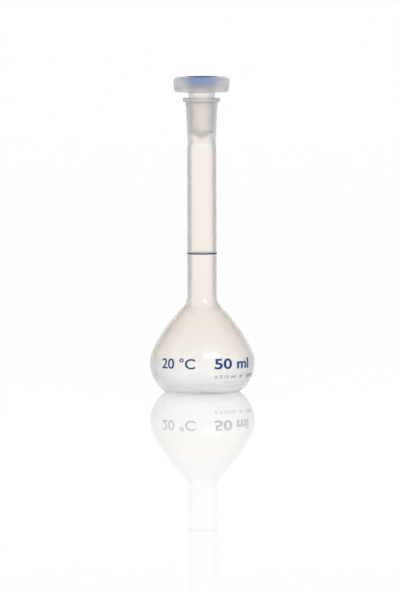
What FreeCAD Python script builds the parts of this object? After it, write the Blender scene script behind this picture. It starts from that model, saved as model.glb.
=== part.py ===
import FreeCAD, Part
import math
import os

# Volumetric flask for 50 ml with a hollow taper stopper.
# Millimetres, +Z up, axis on Z, standing on the plane Z = 0.
# Every piece is a body of revolution. Its outline is drawn as points (radius, height).

# Bulb
bulb_diameter = 50.3
bulb_wall = 1.15
equator_height = 14.0
upper_bulb_radius = 15.6
upper_bulb_sweep = 26.8  # degrees of the upper arc before the shoulder takes over
shoulder_radius = 75.4
shoulder_fillet = 7.9

# Foot, a flat ring round a base that is drawn up in the middle
foot_diameter = 35.4  # where the bulb's curve would meet the ground
foot_round = 1.0
foot_ring_width = 3.2
base_rise = 1.4
floor_wall = 1.3
floor_corner_round = 3.0

# Taper joint of socket and stopper, size 12/21
joint_diameter = 12.5  # at the top of the rim
joint_length = 21.0
joint_taper = 0.1  # change of diameter per length
seat_clearance = 0.04  # radial

# Neck, socket and rim
flask_height = 140.9
neck_wall = 1.85
waist_depth = 0.28  # how far the socket is drawn in from the neck's surface
waist_round = 10.0
rim_overhang = 1.25
rim_thickness = 1.9
rim_round = 0.45
rim_fillet = 0.9
mouth_round = 0.3

# Graduation ring, printed round the neck
mark_rise = 20.3  # above the foot of the neck
mark_width = 0.6
ink_thickness = 0.08

# Stopper shank
shank_gap = 2.9  # shank that shows between rim and head
shank_depth = 16.3  # taper below the top of the rim
shank_wall = 1.6
tip_depth = 3.7
tip_round = 0.8
tip_edge_round = 0.5
tip_thickness = 3.9
hollow_round = 1.0

# Stopper head
head_diameter = 27.5  # at the top, before its edge is rounded
head_height = 7.1
head_draft = 0.85  # how much smaller the lower radius is
head_edge_round = 2.3
head_lower_round = 0.5
skirt_wall = 1.6
web_thickness = 1.3  # floor under the insert
pocket_round = 0.6

# Insert in the head
insert_diameter = 16.2
insert_thickness = 2.6
insert_round = 0.3
insert_clearance = 0.1  # radial
spigot_length = 0.5
spigot_round = 0.2


# Drawing helpers

def vector(point):
    return FreeCAD.Vector(point[0], 0, point[1])


def line(start, end):
    return Part.LineSegment(vector(start), vector(end)).toShape()


def towards(start, end, distance):
    span = math.dist(start, end)
    return tuple(a + (b - a) * distance / span for a, b in zip(start, end))


def arc(centre, start, end):
    """An arc of less than a half circle about centre."""
    chord_middle = tuple((a + b) / 2 for a, b in zip(start, end))
    middle = towards(centre, chord_middle, math.dist(centre, start))
    return Part.Arc(vector(start), vector(middle), vector(end)).toShape()


def rounded_run(corners):
    """Straight runs through corners (radius, height, rounding), with tangent arcs at the rounded ones.

    The first and last corners are the run's ends, and need no rounding.
    """
    edges = []
    pen = corners[0][:2]
    for before, corner, after in zip(corners, corners[1:], corners[2:]):
        point = corner[:2]
        rounding = corner[2]
        if rounding == 0:
            edges.append(line(pen, point))
            pen = point
            continue
        back = towards(point, before[:2], 1)
        ahead = towards(point, after[:2], 1)
        half_angle = math.asin(math.dist(back, ahead) / 2)
        trim = rounding / math.tan(half_angle)
        arc_start = towards(point, before[:2], trim)
        arc_end = towards(point, after[:2], trim)
        bisector = tuple((a + b) / 2 for a, b in zip(back, ahead))
        centre = towards(point, bisector, rounding / math.sin(half_angle))
        edges.append(line(pen, arc_start))
        edges.append(arc(centre, arc_start, arc_end))
        pen = arc_end
    edges.append(line(pen, corners[-1][:2]))
    return edges


def revolve(edges):
    """The solid that a closed outline sweeps in a full turn about Z."""
    face = Part.Face(Part.Wire(edges))
    solid = face.revolve(FreeCAD.Vector(0, 0, 0), FreeCAD.Vector(0, 0, 1), 360)
    if solid.Volume < 0:
        solid.reverse()
    return solid


def outer_meeting(first_centre, first_radius, second_centre, second_radius):
    """Where two circles cross, on the side away from the axis."""
    span = math.dist(first_centre, second_centre)
    along = (first_radius**2 - second_radius**2 + span**2) / (2 * span)
    across = math.sqrt(first_radius**2 - along**2)
    foot = towards(first_centre, second_centre, along)
    step = towards((0, 0), (first_centre[1] - second_centre[1], second_centre[0] - first_centre[0]), across)
    crossings = [(foot[0] + sign * step[0], foot[1] + sign * step[1]) for sign in (1, -1)]
    return max(crossings)


# Bulb geometry, shared by the outside and the inside

bulb_radius = bulb_diameter / 2
foot_reach = bulb_radius - foot_diameter / 2
lower_bulb_radius = (foot_reach**2 + equator_height**2) / (2 * foot_reach)
lower_centre = (bulb_radius - lower_bulb_radius, equator_height)
upper_centre = (bulb_radius - upper_bulb_radius, equator_height)
sweep = math.radians(upper_bulb_sweep)
shoulder_centre = (
    upper_centre[0] + (upper_bulb_radius - shoulder_radius) * math.cos(sweep),
    upper_centre[1] + (upper_bulb_radius - shoulder_radius) * math.sin(sweep),
)


class BulbOutline:
    """Arcs of the bulb from its lower end to the foot of the neck, at a depth below the outer surface."""

    def __init__(self, depth, neck_radius):
        fillet = shoulder_fillet + depth
        shoulder = shoulder_radius - depth
        reach = neck_radius + fillet - shoulder_centre[0]
        rise = math.sqrt((shoulder + fillet) ** 2 - reach**2)
        self.depth = depth
        self.fillet_centre = (neck_radius + fillet, shoulder_centre[1] + rise)
        self.equator = (bulb_radius - depth, equator_height)
        self.shoulder_start = towards(shoulder_centre, upper_centre, shoulder)
        self.shoulder_end = towards(shoulder_centre, self.fillet_centre, shoulder)
        self.neck_foot = (neck_radius, self.fillet_centre[1])

    def lower_point(self, towards_point):
        """The point of the lower arc that lies in line with its centre and the given point."""
        return towards(lower_centre, towards_point, lower_bulb_radius - self.depth)

    def edges(self, lower_start):
        return [
            arc(lower_centre, lower_start, self.equator),
            arc(upper_centre, self.equator, self.shoulder_start),
            arc(shoulder_centre, self.shoulder_start, self.shoulder_end),
            arc(self.fillet_centre, self.shoulder_end, self.neck_foot),
        ]


# Taper joint

def joint_radius(height):
    """Radius of the taper at a height, on the socket's side."""
    return joint_diameter / 2 + (height - flask_height) * joint_taper / 2


def shank_radius(height):
    return joint_radius(height) - seat_clearance


socket_foot = flask_height - joint_length
bore_radius = joint_radius(socket_foot)
neck_radius = bore_radius + neck_wall
socket_wall = neck_wall - waist_depth
outside = BulbOutline(0, neck_radius)
inside = BulbOutline(bulb_wall, bore_radius)
mark_height = outside.neck_foot[1] + mark_rise


# Foot and floor

foot_centre_radius = lower_centre[0] + math.sqrt(
    (lower_bulb_radius - foot_round) ** 2 - (equator_height - foot_round) ** 2
)
foot_centre = (foot_centre_radius, foot_round)
foot_edge = (foot_centre_radius, 0)
foot_top = outside.lower_point(foot_centre)
ring_inner_radius = foot_centre_radius - foot_ring_width
rise_radius = (ring_inner_radius**2 + base_rise**2) / (2 * base_rise)
rise_centre = (0, base_rise - rise_radius)
floor_radius = rise_radius + floor_wall
floor_middle = (0, base_rise + floor_wall)
corner_centre = outer_meeting(
    lower_centre,
    lower_bulb_radius - bulb_wall - floor_corner_round,
    rise_centre,
    floor_radius + floor_corner_round,
)
floor_end = towards(rise_centre, corner_centre, floor_radius)
corner_top = inside.lower_point(corner_centre)


def cavity_edges():
    """The inner surface from the middle of the floor to the foot of the bore."""
    floor = [arc(rise_centre, floor_middle, floor_end), arc(corner_centre, floor_end, corner_top)]
    return floor + inside.edges(corner_top)


def waist_edges():
    """The neck's outer line drawn in to the socket by two equal arcs, and where it ends."""
    slope = joint_taper / 2
    slant = math.hypot(1, slope)
    hollow_end = (bore_radius + socket_wall, socket_foot)
    hollow_centre = (hollow_end[0] + waist_round / slant, hollow_end[1] - slope * waist_round / slant)
    swell_radius = neck_radius - waist_round
    drop = math.sqrt((2 * waist_round) ** 2 - (hollow_centre[0] - swell_radius) ** 2)
    swell_centre = (swell_radius, hollow_centre[1] - drop)
    neck_top = (neck_radius, swell_centre[1])
    turn = towards(swell_centre, hollow_centre, waist_round)
    edges = [
        line(outside.neck_foot, neck_top),
        arc(swell_centre, neck_top, turn),
        arc(hollow_centre, turn, hollow_end),
    ]
    return edges, hollow_end


# Pieces

def make_flask_body():
    foot = [
        arc(rise_centre, (0, base_rise), (ring_inner_radius, 0)),
        line((ring_inner_radius, 0), foot_edge),
        arc(foot_centre, foot_edge, foot_top),
    ]
    waist, waist_end = waist_edges()
    rim_under = flask_height - rim_thickness
    rim_root = joint_radius(rim_under) + socket_wall
    rim_radius = rim_root + rim_overhang
    socket = rounded_run([
        waist_end,
        (rim_root, rim_under, rim_fillet),
        (rim_radius, rim_under, rim_round),
        (rim_radius, flask_height, rim_round),
        (joint_radius(flask_height), flask_height, mouth_round),
        (bore_radius, socket_foot, 0),
        inside.neck_foot,
    ])
    axis = line(floor_middle, (0, base_rise))
    return revolve(foot + outside.edges(foot_top) + waist + socket + cavity_edges()[::-1] + [axis])


def make_graduation_ring():
    lower = mark_height - mark_width / 2
    upper = mark_height + mark_width / 2
    surface = neck_radius + ink_thickness
    return revolve(rounded_run([
        (neck_radius, lower),
        (surface, lower, 0),
        (surface, upper, 0),
        (neck_radius, upper, 0),
        (neck_radius, lower),
    ]))


head_under = flask_height + shank_gap
head_top = head_under + head_height
seat_height = head_top - insert_thickness
pocket_top = seat_height - web_thickness
shank_end = flask_height - shank_depth
tip_height = shank_end - tip_depth
hollow_floor = tip_height + tip_thickness


def hollow_radius(height):
    return shank_radius(height) - shank_wall


def make_stopper_body():
    head_radius = head_diameter / 2
    lower_radius = head_radius - head_draft
    pocket_radius = head_radius - head_draft * (head_top - pocket_top) / head_height - skirt_wall
    recess_radius = insert_diameter / 2 + insert_clearance
    tip_slope = math.atan2(tip_depth, shank_radius(shank_end))
    tip_contact = tip_round * math.sin(tip_slope)
    tip_centre = (0, tip_height + tip_round / math.cos(tip_slope))
    tip_bottom = (0, tip_centre[1] - tip_round)
    tip_flank = (tip_contact, tip_height + tip_contact * math.tan(tip_slope))
    outline = rounded_run([
        tip_flank,
        (shank_radius(shank_end), shank_end, tip_edge_round),
        (shank_radius(pocket_top), pocket_top, pocket_round),
        (pocket_radius, pocket_top, pocket_round),
        (lower_radius - skirt_wall, head_under, 0),
        (lower_radius, head_under, head_lower_round),
        (head_radius, head_top, head_edge_round),
        (recess_radius, head_top, 0),
        (recess_radius, seat_height, 0),
        (hollow_radius(seat_height), seat_height, 0),
        (hollow_radius(hollow_floor), hollow_floor, hollow_round),
        (0, hollow_floor),
    ])
    axis = line((0, hollow_floor), tip_bottom)
    return revolve([arc(tip_centre, tip_bottom, tip_flank)] + outline + [axis])


def make_stopper_insert():
    disc_radius = insert_diameter / 2
    spigot_end = seat_height - spigot_length
    spigot_radius = hollow_radius(spigot_end) - insert_clearance
    return revolve(rounded_run([
        (0, spigot_end),
        (spigot_radius, spigot_end, spigot_round),
        (spigot_radius, seat_height, 0),
        (disc_radius, seat_height, 0),
        (disc_radius, head_top, insert_round),
        (0, head_top, 0),
        (0, spigot_end),
    ]))


def capacity_to_mark():
    """Millilitres that the flask holds up to the middle of the graduation ring."""
    liquid_edge = (bore_radius, mark_height)
    liquid_middle = (0, mark_height)
    surface = [line(inside.neck_foot, liquid_edge), line(liquid_edge, liquid_middle)]
    liquid = revolve(cavity_edges() + surface + [line(liquid_middle, floor_middle)])
    return liquid.Volume / 1000


makers = {
    "flask_body": make_flask_body,
    "graduation_ring": make_graduation_ring,
    "stopper_body": make_stopper_body,
    "stopper_insert": make_stopper_insert,
}

os.makedirs("parts", exist_ok=True)
for node, make in makers.items():
    shape = make()
    shape.exportStep(f"parts/{node}.step")
    print(f"{node}: valid {shape.isValid()}, {shape.Volume:.1f} mm3, top {shape.BoundBox.ZMax:.2f} mm")
print(f"capacity to the ring {capacity_to_mark():.2f} ml, ring at {mark_height:.2f} mm")
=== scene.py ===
"""Looks of a 50 ml volumetric flask of milky plastic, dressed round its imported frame.

Lengths are in metres, angles in degrees, and heights are counted from the foot.
"""

import logging
import math
from abc import ABC, abstractmethod
from collections.abc import Iterable
from dataclasses import dataclass
from enum import Enum

import bmesh
import bpy
from mathutils import Matrix, Vector
from mathutils.bvhtree import BVHTree


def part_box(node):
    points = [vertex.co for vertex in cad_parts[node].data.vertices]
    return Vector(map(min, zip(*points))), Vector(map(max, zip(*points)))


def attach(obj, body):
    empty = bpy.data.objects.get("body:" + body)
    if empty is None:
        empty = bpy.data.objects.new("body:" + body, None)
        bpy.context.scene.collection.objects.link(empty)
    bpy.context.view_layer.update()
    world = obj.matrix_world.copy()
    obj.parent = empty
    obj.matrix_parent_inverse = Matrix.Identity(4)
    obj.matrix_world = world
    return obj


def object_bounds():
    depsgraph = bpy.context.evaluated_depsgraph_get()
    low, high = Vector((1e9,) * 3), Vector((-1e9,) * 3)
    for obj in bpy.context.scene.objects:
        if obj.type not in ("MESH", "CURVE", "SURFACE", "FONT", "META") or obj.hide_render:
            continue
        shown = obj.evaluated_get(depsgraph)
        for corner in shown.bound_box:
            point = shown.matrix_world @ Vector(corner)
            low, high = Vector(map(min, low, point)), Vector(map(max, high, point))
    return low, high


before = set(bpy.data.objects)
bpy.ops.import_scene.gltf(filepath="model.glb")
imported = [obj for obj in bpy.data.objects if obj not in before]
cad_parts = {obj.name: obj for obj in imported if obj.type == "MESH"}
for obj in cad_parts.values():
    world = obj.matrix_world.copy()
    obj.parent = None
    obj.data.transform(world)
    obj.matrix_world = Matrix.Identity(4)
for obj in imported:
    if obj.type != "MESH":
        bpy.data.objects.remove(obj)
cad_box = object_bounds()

MM = 0.001
LOG = logging.getLogger("volumetric_flask")

Colour = tuple[float, float, float]
Stop = tuple[float, Colour]
Socket = bpy.types.NodeSocket
Value = Socket | float | tuple[float, ...]

WHITE: Colour = (1.0, 1.0, 1.0)


class Solid(Enum):
    """The frame's solids."""

    FLASK = "flask_body"
    RING = "graduation_ring"
    STOPPER = "stopper_body"
    INSERT = "stopper_insert"


class Ray(Enum):
    """Kinds of light ray, by the names that Light Path gives them."""

    CAMERA = "Is Camera Ray"
    GLOSSY = "Is Glossy Ray"
    REFLECTION = "Is Reflection Ray"
    TRANSMISSION = "Is Transmission Ray"


class SocketKind(Enum):
    """Kinds of socket on a node group, by Blender's names."""

    COLOUR = "NodeSocketColor"
    NUMBER = "NodeSocketFloat"


class Maths(Enum):
    """Operations of a Math node."""

    ADD = "ADD"
    SUBTRACT = "SUBTRACT"
    MULTIPLY = "MULTIPLY"
    DIVIDE = "DIVIDE"
    MAXIMUM = "MAXIMUM"
    EXPONENT = "EXPONENT"


class Mixing(Enum):
    """Ways to mix two colours."""

    BETWEEN = "MIX"
    PRODUCT = "MULTIPLY"


class Easing(Enum):
    """Ways of a ramp from stop to stop."""

    STRAIGHT = "LINEAR"
    ROUNDED = "EASE"


class NodeSheet:
    """A node tree with short calls that add its nodes and join them.

    The sockets of a Mix node share their names, so those for colours are told by number.
    """

    MIX_MASK = 0
    MIX_FIRST = 6
    MIX_SECOND = 7
    MIX_RESULT = 2

    def __init__(self, tree: bpy.types.NodeTree) -> None:
        """Take a node tree and empty it."""
        self.tree = tree
        tree.nodes.clear()

    def add(
        self, kind: str, inputs: dict[str | int, Value] | None = None, **settings: object
    ) -> bpy.types.Node:
        """Add one node, and set or link its inputs.

        Args:
            kind: Blender's name of the node's type.
            inputs: Values, or output sockets to link, by the input's name or number.
            settings: Attributes of the node itself.

        Returns:
            The new node.
        """
        node = self.tree.nodes.new(kind)
        for name, setting in settings.items():
            setattr(node, name, setting)
        for name, value in (inputs or {}).items():
            if isinstance(value, Socket):
                self.tree.links.new(value, node.inputs[name])
            else:
                node.inputs[name].default_value = value
        return node

    def place(self) -> Socket:
        """Read the place on the object."""
        return self.add("ShaderNodeTexCoord").outputs["Object"]

    def height(self) -> Socket:
        """Read the height on the object."""
        return self.add("ShaderNodeSeparateXYZ", {0: self.place()}).outputs["Z"]

    def maths(self, operation: Maths, first: Value, second: Value = 0.0) -> Socket:
        """Give the result of an operation on one or two numbers."""
        node = self.add("ShaderNodeMath", {0: first, 1: second}, operation=operation.value)
        return node.outputs[0]

    def spread(self, mask: Socket, low: Value, high: Value) -> Socket:
        """Map a mask from 0..1 to the range from low to high."""
        node = self.add("ShaderNodeMapRange", {"Value": mask, "To Min": low, "To Max": high})
        return node.outputs["Result"]

    def noise(self, place: Socket, scale: float, detail: float) -> Socket:
        """Give the value of a noise of so many waves per metre."""
        node = self.add("ShaderNodeTexNoise", {"Vector": place, "Scale": scale, "Detail": detail})
        return node.outputs["Fac"]

    def rays(self, *kinds: Ray) -> Socket:
        """Tell some kinds of ray from all the others.

        Args:
            kinds: The kinds to tell.

        Returns:
            The socket with 1 for a ray of those kinds, and otherwise 0.
        """
        path = self.add("ShaderNodeLightPath").outputs
        told, *others = (path[kind.value] for kind in kinds)
        for other in others:
            told = self.maths(Maths.MAXIMUM, told, other)
        return told

    def blend(
        self, mask: Value, first: Value, second: Value, mixing: Mixing = Mixing.BETWEEN
    ) -> Socket:
        """Mix two colours by a mask.

        Args:
            mask: 0 for the first colour, 1 for the second.
            first: The first colour.
            second: The second colour.
            mixing: The way to mix.

        Returns:
            The socket with the mixed colour.
        """
        inputs = {self.MIX_MASK: mask, self.MIX_FIRST: first, self.MIX_SECOND: second}
        node = self.add("ShaderNodeMix", inputs, data_type="RGBA", blend_type=mixing.value)
        return node.outputs[self.MIX_RESULT]

    def ramp(
        self, value: Socket, stops: tuple[Stop, ...], easing: Easing = Easing.STRAIGHT
    ) -> Socket:
        """Run through a row of colours along a value.

        Args:
            value: The value, such as a height.
            stops: The values and their colours, in rising order.
            easing: The way from stop to stop.

        Returns:
            The socket with the colour.
        """
        low, high = stops[0][0], stops[-1][0]
        span = {"Value": value, "From Min": low, "From Max": high}
        share = self.add("ShaderNodeMapRange", span).outputs["Result"]
        node = self.add("ShaderNodeValToRGB", {"Fac": share})
        node.color_ramp.interpolation = easing.value
        row = node.color_ramp.elements
        while len(row) < len(stops):
            row.new(1.0)
        for element, (place, colour) in zip(row, stops):
            element.position = (place - low) / (high - low)
            element.color = opaque(colour)
        return node.outputs["Color"]


def opaque(colour: Colour) -> tuple[float, float, float, float]:
    """Give a colour its full alpha."""
    return (*colour, 1.0)


def greys(values: Iterable[tuple[float, float]]) -> tuple[Stop, ...]:
    """Make grey stops of places and their values."""
    return tuple((place, (value,) * 3) for place, value in values)


def empty_material(name: str) -> tuple[bpy.types.Material, NodeSheet]:
    """Start a material with no nodes.

    Args:
        name: The material's name.

    Returns:
        The material and the sheet of its node tree.
    """
    material = bpy.data.materials.new(name)
    material.use_nodes = True
    return material, NodeSheet(material.node_tree)


class SurfaceGroup(ABC):
    """A shader node group for an effect that several finishes share."""

    title: str
    sockets_in: dict[str, SocketKind]
    sockets_out: dict[str, SocketKind] = {
        "Colour": SocketKind.COLOUR,
        "Roughness": SocketKind.NUMBER,
        "Height": SocketKind.NUMBER,
    }

    def tree(self) -> bpy.types.NodeTree:
        """Give the group's node tree, built the first time it is asked for."""
        made = bpy.data.node_groups.get(self.title)
        return made or self.build()

    def build(self) -> bpy.types.NodeTree:
        """Make the group with its sockets and its nodes.

        Returns:
            The group's node tree.
        """
        tree = bpy.data.node_groups.new(self.title, "ShaderNodeTree")
        for way, sockets in (("INPUT", self.sockets_in), ("OUTPUT", self.sockets_out)):
            for name, kind in sockets.items():
                tree.interface.new_socket(name, in_out=way, socket_type=kind.value)
        sheet = NodeSheet(tree)
        given = sheet.add("NodeGroupInput").outputs
        sheet.add("NodeGroupOutput", self.draw(sheet, given))
        return tree

    @abstractmethod
    def draw(self, sheet: NodeSheet, given: bpy.types.NodeOutputs) -> dict[str, Socket]:
        """Draw the effect's nodes, and give the sockets that the group puts out, by name."""


class MouldedSkin(SurfaceGroup):
    """Slow clouding, upright flow lines and the fine peel of a moulded plastic face."""

    title = "moulded_skin"
    sockets_in = {
        "Clear": SocketKind.COLOUR,
        "Cloudy": SocketKind.COLOUR,
        "Smooth": SocketKind.NUMBER,
        "Rough": SocketKind.NUMBER,
    }
    cloud_scale = 85.0
    cloud_detail = 3.0
    flow_scale = 420.0
    flow_detail = 2.0
    flow_stretch = 0.06
    peel_scale = 1100.0
    peel_detail = 2.0

    def draw(self, sheet: NodeSheet, given: bpy.types.NodeOutputs) -> dict[str, Socket]:
        """Draw the clouding, the flow lines and the peel.

        Args:
            sheet: The group's sheet.
            given: The two tints and the two ends of the roughness.

        Returns:
            The tint, the roughness and the height of the skin.
        """
        place = sheet.place()
        stretch = {"Vector": place, "Scale": (1.0, 1.0, self.flow_stretch)}
        upright = sheet.add("ShaderNodeMapping", stretch).outputs[0]
        cloud = sheet.noise(place, self.cloud_scale, self.cloud_detail)
        flow = sheet.noise(upright, self.flow_scale, self.flow_detail)
        haze = sheet.maths(Maths.MULTIPLY, cloud, flow)
        return {
            "Colour": sheet.blend(cloud, given["Clear"], given["Cloudy"]),
            "Roughness": sheet.spread(haze, given["Smooth"], given["Rough"]),
            "Height": sheet.noise(place, self.peel_scale, self.peel_detail),
        }


class InkFilm(SurfaceGroup):
    """A printed film of ink: denser and thinner patches, with a grain of fine pinholes."""

    title = "ink_film"
    sockets_in = {
        "Dense": SocketKind.COLOUR,
        "Thin": SocketKind.COLOUR,
        "Smooth": SocketKind.NUMBER,
        "Rough": SocketKind.NUMBER,
    }
    patch_scale = 700.0
    patch_detail = 2.0
    grain_scale = 6000.0
    grain_detail = 1.0
    pinhole_share = 0.35

    def draw(self, sheet: NodeSheet, given: bpy.types.NodeOutputs) -> dict[str, Socket]:
        """Draw the patches and the grain.

        Args:
            sheet: The group's sheet.
            given: The two colours and the two ends of the roughness.

        Returns:
            The colour, the roughness and the height of the film.
        """
        place = sheet.place()
        patch = sheet.noise(place, self.patch_scale, self.patch_detail)
        grain = sheet.noise(place, self.grain_scale, self.grain_detail)
        speck = sheet.maths(Maths.MULTIPLY, grain, self.pinhole_share)
        thin = sheet.maths(Maths.MULTIPLY, patch, speck)
        return {
            "Colour": sheet.blend(thin, given["Dense"], given["Thin"]),
            "Roughness": sheet.spread(patch, given["Smooth"], given["Rough"]),
            "Height": grain,
        }


@dataclass(frozen=True)
class Finish(ABC):
    """What every finish here has: two tints, a range of roughness and the depth of its relief."""

    name: str
    tints: tuple[Colour, Colour]
    roughness: tuple[float, float]
    relief: float

    @abstractmethod
    def material(self) -> bpy.types.Material:
        """Make the finish as a material."""

    def surface(self, sheet: NodeSheet, group: SurfaceGroup) -> dict[str, Socket]:
        """Place a shared group and the bump of its height.

        Args:
            sheet: The material's sheet.
            group: The shared effect.

        Returns:
            Sockets for Base Color, Roughness and Normal.
        """
        skin = sheet.add("ShaderNodeGroup", node_tree=group.tree())
        values = (*map(opaque, self.tints), *self.roughness)
        for socket, value in zip(skin.inputs, values):
            socket.default_value = value
        bump = sheet.add(
            "ShaderNodeBump",
            {"Strength": 1.0, "Distance": self.relief, "Height": skin.outputs["Height"]},
        )
        return {
            "Base Color": skin.outputs["Colour"],
            "Roughness": skin.outputs["Roughness"],
            "Normal": bump.outputs["Normal"],
        }


@dataclass(frozen=True)
class MouldedPlastic(Finish):
    """A moulded plastic whose tint changes with the height on the object, partly its own tone and
    partly painted light and shade.
    """

    tone_and_painted_light: tuple[Stop, ...]

    def tinted(self, sheet: NodeSheet, level: Socket, skin: Socket) -> Socket:
        """Tint the skin's own colour by the height, with the painted light and shade that the
        height ramp holds.
        """
        return sheet.blend(1.0, sheet.ramp(level, self.tone_and_painted_light), skin, Mixing.PRODUCT)


class EdgeShadeProfile(Enum):
    """How the painted edge shade of a wall grows from face on, at 0, to edge on, at 1. A profile
    that falls again near 1 paints a dark line inside the outline and a lighter rim at the very
    edge.
    """

    BULB = (
        (0.0, 0.0),
        (0.2, 0.1),
        (0.4, 0.38),
        (0.5, 0.58),
        (0.56, 0.88),
        (0.6, 1.0),
        (0.635, 0.92),
        (0.69, 0.5),
        (1.0, 0.28),
    )
    FOOT = ((0.0, 0.0), (0.72, 1.0))
    NECK = ((0.22, 0.0), (0.4, 1.0))
    SOCKET = ((0.08, 0.0), (0.34, 1.0))
    RIM = ((0.05, 0.0), (0.8, 1.0), (1.0, 0.4))
    SHANK = ((0.2, 0.0), (0.8, 1.0))
    HEAD = ((0.05, 0.0), (0.5, 1.0))


@dataclass(frozen=True)
class PaintedEdgeShade:
    """Painted shade at one height: how a wall greys where it turns away from the eye, in place of
    the darker surroundings seen through its edge.
    """

    height: float
    profile: EdgeShadeProfile
    tint: Colour
    share: float = 1.0


@dataclass(frozen=True)
class MilkyPlastic(MouldedPlastic):
    """Translucent moulded plastic: part clear, part milky, with painted shade that greys a wall
    where it is seen edge on.

    When only outer faces are shaded, the painted edge shade falls only on the faces that the eye
    meets first, straight or in the floor.
    The frosting is the least roughness at each height.
    """

    edges: tuple[PaintedEdgeShade, ...]
    shade_outer_faces_only: bool
    frosting: tuple[tuple[float, float], ...]
    transmission: float
    ior: float
    coat: float
    coat_roughness: float
    depth_tint: Colour
    depth_density: float

    def material(self) -> bpy.types.Material:
        """Make the plastic with its absorbing inside.

        Returns:
            The material.
        """
        material, sheet = empty_material(self.name)
        skin = self.surface(sheet, MouldedSkin())
        level = sheet.height()
        # The wall's tone by height, with the painted light and shade that the height ramp holds
        wall = self.tinted(sheet, level, skin["Base Color"])
        # Painted edge shade: a grey by height, mixed over the wall where it is seen edge on
        grey = sheet.ramp(level, tuple((edge.height, edge.tint) for edge in self.edges))
        frost = sheet.ramp(level, greys(self.frosting))
        skin["Base Color"] = sheet.blend(self.painted_edge_shade_mask(sheet, level), wall, grey)
        skin["Roughness"] = sheet.maths(Maths.MAXIMUM, skin["Roughness"], frost)
        shader = sheet.add(
            "ShaderNodeBsdfPrincipled",
            {
                **skin,
                "Transmission Weight": self.transmission,
                "IOR": self.ior,
                "Coat Weight": self.coat,
                "Coat Roughness": self.coat_roughness,
            },
        )
        inside = sheet.add(
            "ShaderNodeVolumeAbsorption",
            {"Color": opaque(self.depth_tint), "Density": self.depth_density},
        )
        sheet.add(
            "ShaderNodeOutputMaterial",
            {"Surface": shader.outputs[0], "Volume": inside.outputs[0]},
        )
        return material

    def shares(self, profile: EdgeShadeProfile) -> tuple[Stop, ...]:
        """Give a profile's share of the grey at each height."""
        return greys(
            (edge.height, edge.share if edge.profile is profile else 0.0) for edge in self.edges
        )

    def painted_edge_shade_mask(self, sheet: NodeSheet, level: Socket) -> Socket:
        """Give the mask of the painted edge shade, where the wall is seen edge on.

        Args:
            sheet: The material's sheet.
            level: The height on the object.

        Returns:
            The socket with the mask, 0 where the wall faces the eye.
        """
        turned = sheet.add("ShaderNodeLayerWeight").outputs["Facing"]
        mask: Value = 0.0
        for profile in dict.fromkeys(edge.profile for edge in self.edges):
            grown = sheet.ramp(turned, greys(profile.value), Easing.ROUNDED)
            part = sheet.maths(Maths.MULTIPLY, grown, sheet.ramp(level, self.shares(profile)))
            mask = sheet.maths(Maths.ADD, mask, part)
        if not self.shade_outer_faces_only:
            return mask
        # The painted edge shade stays on the front faces that camera or reflection rays meet first
        direct = sheet.rays(Ray.CAMERA, Ray.REFLECTION)
        inner = sheet.add("ShaderNodeNewGeometry").outputs["Backfacing"]
        first = sheet.maths(Maths.MULTIPLY, direct, sheet.maths(Maths.SUBTRACT, 1.0, inner))
        return sheet.maths(Maths.MULTIPLY, mask, first)


@dataclass(frozen=True)
class SolidPlastic(MouldedPlastic):
    """Coloured moulded plastic that lets no light through."""

    shine: float

    def material(self) -> bpy.types.Material:
        """Make the plastic.

        Returns:
            The material.
        """
        material, sheet = empty_material(self.name)
        skin = self.surface(sheet, MouldedSkin())
        # The height ramp can hold painted shade, such as the insert's dark top face
        skin["Base Color"] = self.tinted(sheet, sheet.height(), skin["Base Color"])
        shader = sheet.add("ShaderNodeBsdfPrincipled", {**skin, "Specular IOR Level": self.shine})
        sheet.add("ShaderNodeOutputMaterial", {"Surface": shader.outputs[0]})
        return material


@dataclass(frozen=True)
class PrintInk(Finish):
    """Printed ink with a satin face."""

    shine: float = 0.2

    def material(self) -> bpy.types.Material:
        """Make the ink.

        Returns:
            The material.
        """
        material, sheet = empty_material(self.name)
        film = self.surface(sheet, InkFilm())
        shader = sheet.add("ShaderNodeBsdfPrincipled", {**film, "Specular IOR Level": self.shine})
        sheet.add("ShaderNodeOutputMaterial", {"Surface": shader.outputs[0]})
        return material


# Painted highlight: a lighter band round the neck just below the socket
WAIST_HIGHLIGHT: Colour = (1.0, 0.985, 0.965)
# Painted shade at the neck's edges
NECK_EDGE_SHADE: Colour = (0.34, 0.335, 0.335)
SHANK_TINT: Colour = (0.99, 0.965, 0.95)

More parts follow.
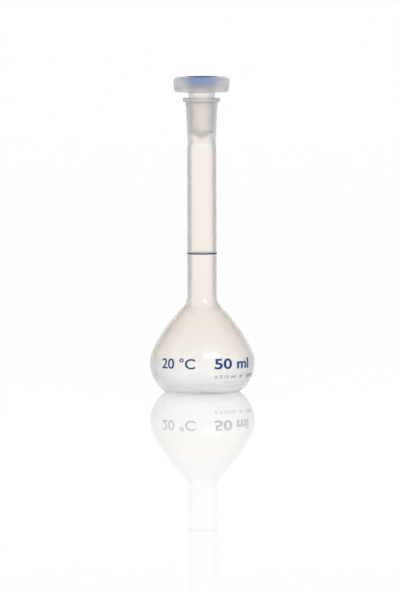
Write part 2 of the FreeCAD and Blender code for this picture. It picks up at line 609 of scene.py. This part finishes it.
# Heights in the finishes follow the solids: the bulb is widest at 14 mm, the neck starts at 46 mm,
# the socket at 120 mm and the rim at 139 mm, and the stopper's head has its underside at 144 mm.
FLASK_PLASTIC = MilkyPlastic(
    name="milky_flask_plastic",
    tints=(WHITE, (1.0, 0.99, 0.982)),
    roughness=(0.18, 0.24),
    relief=0.0002 * MM,
    # A warm milky tone, with a painted reflection of the floor as a cooler tint towards the foot,
    # darker and warmer round the shoulder from 32 to 42 mm, and a painted highlight band from 117
    # to 118.4 mm
    tone_and_painted_light=(
        (0.0 * MM, WHITE),
        (6.0 * MM, (0.984, 0.988, 0.995)),
        (18.0 * MM, (0.988, 0.969, 0.944)),
        (32.0 * MM, (0.985, 0.94, 0.9)),
        (42.0 * MM, (0.985, 0.945, 0.91)),
        (60.0 * MM, (0.998, 0.962, 0.93)),
        (116.0 * MM, (1.0, 0.968, 0.932)),
        (117.2 * MM, WAIST_HIGHLIGHT),
        (118.4 * MM, WAIST_HIGHLIGHT),
        (119.4 * MM, (1.0, 0.965, 0.93)),
    ),
    # Painted shade where the wall is seen edge on: warm grey round the bulb, grey on the neck,
    # cooler on the socket and rim
    edges=(
        PaintedEdgeShade(3.0 * MM, EdgeShadeProfile.FOOT, (0.62, 0.615, 0.61), share=0.0),
        PaintedEdgeShade(8.0 * MM, EdgeShadeProfile.FOOT, (0.66, 0.645, 0.635)),
        PaintedEdgeShade(16.0 * MM, EdgeShadeProfile.FOOT, (0.6, 0.58, 0.56)),
        PaintedEdgeShade(18.0 * MM, EdgeShadeProfile.BULB, (0.6, 0.53, 0.43)),
        PaintedEdgeShade(27.0 * MM, EdgeShadeProfile.BULB, (0.52, 0.45, 0.355)),
        PaintedEdgeShade(38.0 * MM, EdgeShadeProfile.BULB, (0.49, 0.435, 0.37)),
        PaintedEdgeShade(50.0 * MM, EdgeShadeProfile.NECK, NECK_EDGE_SHADE),
        PaintedEdgeShade(117.0 * MM, EdgeShadeProfile.NECK, NECK_EDGE_SHADE),
        PaintedEdgeShade(121.0 * MM, EdgeShadeProfile.SOCKET, (0.66, 0.67, 0.69)),
        PaintedEdgeShade(136.0 * MM, EdgeShadeProfile.SOCKET, (0.64, 0.66, 0.71)),
        PaintedEdgeShade(138.5 * MM, EdgeShadeProfile.RIM, (0.57, 0.585, 0.635)),
    ),
    shade_outer_faces_only=True,
    frosting=(
        (0.4 * MM, 1.0),
        (2.0 * MM, 0.35),
        (6.0 * MM, 0.15),
        (12.0 * MM, 0.0),
        (116.5 * MM, 0.0),
        (119.5 * MM, 0.32),
        (136.0 * MM, 0.33),
        (138.0 * MM, 0.5),
    ),
    transmission=0.985,
    ior=1.49,
    coat=0.6,
    coat_roughness=0.06,
    depth_tint=(0.5, 0.5, 0.5),
    depth_density=3.0,
)
STOPPER_PLASTIC = MilkyPlastic(
    name="waxy_stopper_plastic",
    tints=(WHITE, (0.998, 0.998, 0.995)),
    roughness=(0.3, 0.42),
    relief=0.0005 * MM,
    tone_and_painted_light=(
        (139.0 * MM, WHITE),
        (141.5 * MM, SHANK_TINT),
        (143.5 * MM, SHANK_TINT),
        (145.0 * MM, (0.865, 0.86, 0.895)),
    ),
    # Painted shade at the edges of the shank and the head
    edges=(
        PaintedEdgeShade(124.0 * MM, EdgeShadeProfile.SHANK, (0.9, 0.895, 0.905), share=0.0),
        PaintedEdgeShade(127.0 * MM, EdgeShadeProfile.SHANK, (0.87, 0.865, 0.885)),
        PaintedEdgeShade(140.0 * MM, EdgeShadeProfile.SHANK, (0.8, 0.785, 0.81)),
        PaintedEdgeShade(144.0 * MM, EdgeShadeProfile.HEAD, (0.75, 0.745, 0.76)),
    ),
    shade_outer_faces_only=False,
    frosting=(
        (122.0 * MM, 0.85),
        (125.0 * MM, 0.42),
        (128.0 * MM, 0.0),
        (142.0 * MM, 0.0),
        (145.0 * MM, 0.45),
    ),
    transmission=0.985,
    ior=1.35,
    coat=0.0,
    coat_roughness=0.0,
    depth_tint=(0.5, 0.5, 0.55),
    depth_density=5.0,
)
INSERT_PLASTIC = SolidPlastic(
    name="blue_insert_plastic",
    tints=((0.36, 0.55, 1.0), (0.4, 0.58, 1.0)),
    roughness=(0.6, 0.75),
    relief=0.001 * MM,
    # Full colour low down, a little darker towards the top, and painted shade that makes the top
    # face near black-blue
    tone_and_painted_light=(
        (147.0 * MM, WHITE),
        (150.5 * MM, (0.9, 0.9, 0.9)),
        (150.85 * MM, (0.088, 0.094, 0.215)),
    ),
    shine=0.0,
)
RING_INK = PrintInk(
    name="ring_mark_ink",
    tints=((0.004, 0.014, 0.085), (0.02, 0.05, 0.19)),
    roughness=(0.3, 0.5),
    relief=0.004 * MM,
)
FIGURE_INK = PrintInk(
    name="blue_figure_ink",
    tints=((0.004, 0.046, 0.18), (0.02, 0.12, 0.34)),
    roughness=(0.3, 0.5),
    relief=0.004 * MM,
)
FAINT_INK = PrintInk(
    name="faint_figure_ink",
    tints=((0.1, 0.12, 0.25), (0.25, 0.27, 0.42)),
    roughness=(0.35, 0.55),
    relief=0.004 * MM,
)


def dress(solid: Solid, finish: Finish) -> bpy.types.Object:
    """Give a solid of the frame its finish.

    Args:
        solid: The solid.
        finish: Its finish.

    Returns:
        The dressed solid.
    """
    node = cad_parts[solid.value]
    node.data.materials.clear()
    node.data.materials.append(finish.material())
    return node


class Cut(Enum):
    """Cuts through the flat figures, by the number of the axis that they cross."""

    UPRIGHT = 0
    LEVEL = 1


@dataclass(frozen=True)
class PrintedLine:
    """One line of figures, printed round the bulb at a steady height.

    The azimuth is that of the line's left end, counted from the front towards the right.
    Boldness thickens the strokes, and widening draws the line out along the bulb.
    """

    name: str
    words: str
    figure_height: float
    baseline: float
    azimuth: float
    ink: PrintInk
    boldness: float = 0.0
    widening: float = 1.0
    film: float = 0.05 * MM
    sunk: float = 0.01 * MM
    mesh_step: float = 0.5 * MM
    weld: float = 0.001 * MM
    curve_steps: int = 5
    body: str = "flask"
    slot: str = "mark_ink"

    # Height of a capital as a share of the type's size
    CAPITAL_SHARE = 0.729
    # Where the rays that find the wall start, in radii of the bulb
    RAY_START = 2.0

    def flat_figures(self) -> bmesh.types.BMesh:
        """Set the words flat, from the left end of their baseline.

        Returns:
            The flat figures.
        """
        curve = bpy.data.curves.new(self.name, "FONT")
        curve.body = self.words
        curve.size = self.figure_height / self.CAPITAL_SHARE
        curve.offset = self.boldness
        curve.resolution_u = self.curve_steps
        holder = bpy.data.objects.new(self.name, curve)
        bpy.context.scene.collection.objects.link(holder)
        seen = holder.evaluated_get(bpy.context.evaluated_depsgraph_get())
        flat = bpy.data.meshes.new_from_object(seen)
        shape = bmesh.new()
        shape.from_mesh(flat)
        bmesh.ops.remove_doubles(shape, verts=shape.verts[:], dist=self.weld)
        bpy.data.objects.remove(holder)
        bpy.data.curves.remove(curve)
        bpy.data.meshes.remove(flat)
        return shape

    def cut_strips(self, shape: bmesh.types.BMesh, way: Cut) -> None:
        """Cut the flat figures into strips that can follow the bulb.

        Args:
            shape: The flat figures.
            way: The way of the cuts.
        """
        places = [corner.co[way.value] for corner in shape.verts]
        first, last = min(places), max(places)
        normal = Vector((0.0, 0.0, 0.0))
        normal[way.value] = 1.0
        for step in range(1, math.ceil((last - first) / self.mesh_step)):
            bmesh.ops.bisect_plane(
                shape,
                geom=shape.verts[:] + shape.edges[:] + shape.faces[:],
                plane_co=normal * (first + step * self.mesh_step),
                plane_no=normal,
            )

    def wrap(self, shape: bmesh.types.BMesh, wall: BVHTree, reach: float) -> None:
        """Lay the flat figures on the bulb's wall.

        Args:
            shape: The flat figures.
            wall: The flask's faces.
            reach: The bulb's radius at its widest.
        """
        for corner in shape.verts:
            turn = math.radians(self.azimuth) + self.widening * corner.co.x / reach
            outward = Vector((math.sin(turn), -math.cos(turn), 0.0))
            level = Vector((0.0, 0.0, self.baseline + corner.co.y))
            touch = wall.ray_cast(level + self.RAY_START * reach * outward, -outward)[0]
            corner.co = touch + (self.film - self.sunk) * outward

    def build(self) -> bpy.types.Object:
        """Make the printed line as a thin film on the bulb.

        Returns:
            The finished piece.
        """
        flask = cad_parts[Solid.FLASK.value]
        wall = BVHTree.FromObject(flask, bpy.context.evaluated_depsgraph_get())
        shape = self.flat_figures()
        for way in Cut:
            self.cut_strips(shape, way)
        self.wrap(shape, wall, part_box(Solid.FLASK.value)[1].x)
        bmesh.ops.recalc_face_normals(shape, faces=shape.faces[:])
        bmesh.ops.solidify(shape, geom=shape.faces[:], thickness=self.film)
        mesh = bpy.data.meshes.new(self.name)
        shape.to_mesh(mesh)
        shape.free()
        mesh.materials.append(self.ink.material())
        piece = bpy.data.objects.new(self.name, mesh)
        bpy.context.scene.collection.objects.link(piece)
        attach(piece, self.body)
        return piece


@dataclass(frozen=True)
class Flask:
    """The flask: its moulding, the ring on its neck and the figures on its bulb."""

    plastic: MilkyPlastic = FLASK_PLASTIC
    ring_ink: PrintInk = RING_INK
    capacity: PrintedLine = PrintedLine(
        name="capacity_figures",
        words="50 ml",
        figure_height=5.0 * MM,
        baseline=12.4 * MM,
        azimuth=13.0,
        ink=FIGURE_INK,
        boldness=0.17 * MM,
        widening=1.38,
    )
    tolerance: PrintedLine = PrintedLine(
        name="tolerance_figures",
        words="± 0.12 ml   In   12/21",
        figure_height=1.7 * MM,
        baseline=7.8 * MM,
        azimuth=13.5,
        ink=FAINT_INK,
        widening=1.35,
    )
    temperature: PrintedLine = PrintedLine(
        name="temperature_figures",
        words="20 °C",
        figure_height=5.0 * MM,
        baseline=12.4 * MM,
        azimuth=-50.0,
        ink=FIGURE_INK,
        boldness=0.09 * MM,
        widening=1.15,
    )

    def build(self) -> list[bpy.types.Object]:
        """Dress the moulding and the ring, and print the figures.

        Returns:
            The pieces.
        """
        moulding = dress(Solid.FLASK, self.plastic)
        ring = dress(Solid.RING, self.ring_ink)
        lines = [line.build() for line in (self.capacity, self.tolerance, self.temperature)]
        return [moulding, ring, *lines]


@dataclass(frozen=True)
class Stopper:
    """The stopper: its hollow moulding and the coloured insert in its head."""

    plastic: MilkyPlastic = STOPPER_PLASTIC
    insert_plastic: SolidPlastic = INSERT_PLASTIC

    def build(self) -> list[bpy.types.Object]:
        """Dress the moulding and its insert, and give both pieces."""
        return [dress(Solid.STOPPER, self.plastic), dress(Solid.INSERT, self.insert_plastic)]


@dataclass(frozen=True)
class Softbox:
    """A soft rectangular lamp that faces the object."""

    name: str
    azimuth: float
    elevation: float
    distance: float
    width: float
    height: float
    radiance: float
    mirrored: bool

    def build(self, target: Vector) -> bpy.types.Object:
        """Hang the lamp.

        Args:
            target: The point that it faces.

        Returns:
            The lamp.
        """
        lamp = bpy.data.lights.new(self.name, "AREA")
        lamp.shape = "RECTANGLE"
        lamp.size = self.width
        lamp.size_y = self.height
        lamp.energy = self.radiance * math.pi * self.width * self.height
        around, up = math.radians(self.azimuth), math.radians(self.elevation)
        away = Vector(
            (math.sin(around) * math.cos(up), -math.cos(around) * math.cos(up), math.sin(up))
        )
        holder = bpy.data.objects.new(self.name, lamp)
        holder.location = target + self.distance * away
        holder.rotation_euler = (-away).to_track_quat("-Z", "Y").to_euler()
        holder.visible_camera = False
        holder.visible_transmission = False
        holder.visible_glossy = self.mirrored
        bpy.context.scene.collection.objects.link(holder)
        return holder


@dataclass(frozen=True)
class Studio:
    """A white sweep with soft lamps, and a glossy floor whose mirror fades away from the object."""

    key: Softbox = Softbox(
        name="key_softbox",
        azimuth=22.0,
        elevation=28.0,
        distance=0.95,
        width=0.52,
        height=0.28,
        radiance=6.0,
        mirrored=True,
    )
    bank: Softbox = Softbox(
        name="overhead_bank",
        azimuth=0.0,
        elevation=80.0,
        distance=1.4,
        width=1.4,
        height=1.4,
        radiance=0.6,
        mirrored=False,
    )
    ambient: float = 0.85
    floor_radius: float = 2.5
    floor_drop: float = 0.02 * MM
    floor_sides: int = 96
    floor_light: float = 1.14
    floor_bounce: float = 0.8
    floor_shade: float = 0.1
    shade_reach: float = 0.8
    mirror_share: float = 1.12
    mirror_reach: float = 0.43
    mirror_ior: float = 1.5
    mirror_blur: float = 0.0

    # Rays that show the backdrop straight, mirrored or through the plastic
    BACKDROP_RAYS = (Ray.CAMERA, Ray.GLOSSY, Ray.TRANSMISSION)

    def build_world(self) -> None:
        """Make the white surround, dimmer as a light than as a backdrop."""
        world = bpy.data.worlds.new("white_sweep")
        world.use_nodes = True
        sheet = NodeSheet(world.node_tree)
        strength = sheet.spread(sheet.rays(*self.BACKDROP_RAYS), self.ambient, 1.0)
        surround = sheet.add(
            "ShaderNodeBackground", {"Color": opaque(WHITE), "Strength": strength}
        )
        sheet.add("ShaderNodeOutputWorld", {"Surface": surround.outputs[0]})
        bpy.context.scene.world = world

    def floor_material(self) -> bpy.types.Material:
        """Make the floor's finish.

        Returns:
            A white gloss that keeps the object's shadow and mirrors it most close to its foot.
        """
        material, sheet = empty_material("white_gloss_floor")
        length = sheet.add("ShaderNodeVectorMath", {0: sheet.place()}, operation="LENGTH")
        far = length.outputs["Value"]
        mirror_fade, shade_fade = (
            sheet.maths(Maths.EXPONENT, sheet.maths(Maths.DIVIDE, far, -reach))
            for reach in (self.mirror_reach, self.shade_reach)
        )
        graze = sheet.add("ShaderNodeFresnel", {"IOR": self.mirror_ior}).outputs[0]
        shown = sheet.maths(Maths.MULTIPLY, mirror_fade, graze)
        share = sheet.maths(Maths.MULTIPLY, shown, self.mirror_share)
        seen = sheet.rays(*self.BACKDROP_RAYS)
        shade = sheet.maths(Maths.MULTIPLY, shade_fade, self.floor_shade)
        white = sheet.spread(seen, self.floor_bounce, shade)
        chalk = sheet.add("ShaderNodeBsdfDiffuse", {"Color": white})
        dark = sheet.maths(Maths.MULTIPLY, shade, self.floor_light)
        lit = sheet.maths(Maths.MULTIPLY, seen, sheet.maths(Maths.SUBTRACT, 1.0, dark))
        glow = sheet.add("ShaderNodeEmission", {"Strength": lit})
        matt = sheet.add("ShaderNodeAddShader", {0: chalk.outputs[0], 1: glow.outputs[0]})
        mirror = sheet.add(
            "ShaderNodeBsdfGlossy", {"Color": opaque(WHITE), "Roughness": self.mirror_blur}
        )
        floor = sheet.add(
            "ShaderNodeMixShader", {0: share, 1: matt.outputs[0], 2: mirror.outputs[0]}
        )
        sheet.add("ShaderNodeOutputMaterial", {"Surface": floor.outputs[0]})
        return material

    def build_floor(self) -> bpy.types.Object:
        """Lay the floor under the object's foot.

        Returns:
            The floor.
        """
        shape = bmesh.new()
        level = cad_box[0].z - self.floor_drop
        bmesh.ops.create_circle(
            shape,
            cap_ends=True,
            segments=self.floor_sides,
            radius=self.floor_radius,
            matrix=Matrix.Translation((0.0, 0.0, level)),
        )
        mesh = bpy.data.meshes.new("floor")
        shape.to_mesh(mesh)
        shape.free()
        mesh.materials.append(self.floor_material())
        floor = bpy.data.objects.new("floor", mesh)
        bpy.context.scene.collection.objects.link(floor)
        return floor

    def build(self) -> list[bpy.types.Object]:
        """Make the surround, the floor and the lamps.

        Returns:
            The floor and the lamps.
        """
        self.build_world()
        floor = self.build_floor()
        middle = (cad_box[0] + cad_box[1]) / 2
        return [floor, self.key.build(middle), self.bank.build(middle)]


@dataclass(frozen=True)
class PhotoCamera:
    """The camera, far off with a long lens, a little above the object.

    The sensor's width is in millimetres, as a camera in Blender has it.
    """

    distance: float = 5.4975
    elevation: float = 3.55
    roll: float = -0.154
    frame_height: float = 282.6 * MM
    sensor: float = 36.0
    aim: tuple[float, float, float] = (-1.0 * MM, 0.0, 46.3 * MM)

    def build(self) -> list[bpy.types.Object]:
        """Set the camera up and make it the scene's own.

        Returns:
            The camera alone.
        """
        data = bpy.data.cameras.new("photo_camera")
        data.sensor_width = self.sensor
        data.lens = self.sensor * self.distance / self.frame_height
        rise = math.radians(self.elevation)
        away = Vector((0.0, -math.cos(rise), math.sin(rise)))
        turned = (-away).to_track_quat("-Z", "Y").to_matrix().to_4x4()
        camera = bpy.data.objects.new("photo_camera", data)
        camera.matrix_world = (
            Matrix.Translation(Vector(self.aim) + self.distance * away)
            @ turned
            @ Matrix.Rotation(math.radians(self.roll), 4, "Z")
        )
        bpy.context.scene.collection.objects.link(camera)
        bpy.context.scene.camera = camera
        return [camera]


def set_light_paths(scene: bpy.types.Scene, bounces: int = 24) -> None:
    """Let light cross all the walls of the flask and the stopper.

    Args:
        scene: The scene.
        bounces: The most walls that a ray may meet.
    """
    scene.cycles.max_bounces = bounces
    scene.cycles.transmission_bounces = bounces
    scene.cycles.glossy_bounces = bounces


def main() -> None:
    """Build the camera, the studio, the flask and the stopper, and report each piece."""
    logging.basicConfig(level=logging.INFO, format="%(name)s: %(message)s")
    scene = bpy.context.scene
    scene.view_settings.view_transform = "Standard"
    set_light_paths(scene)
    for assembly in (PhotoCamera(), Studio(), Flask(), Stopper()):
        for piece in assembly.build():
            LOG.info("%s has its %s", type(assembly).__name__, piece.name)


if __name__ == "__main__":
    main()
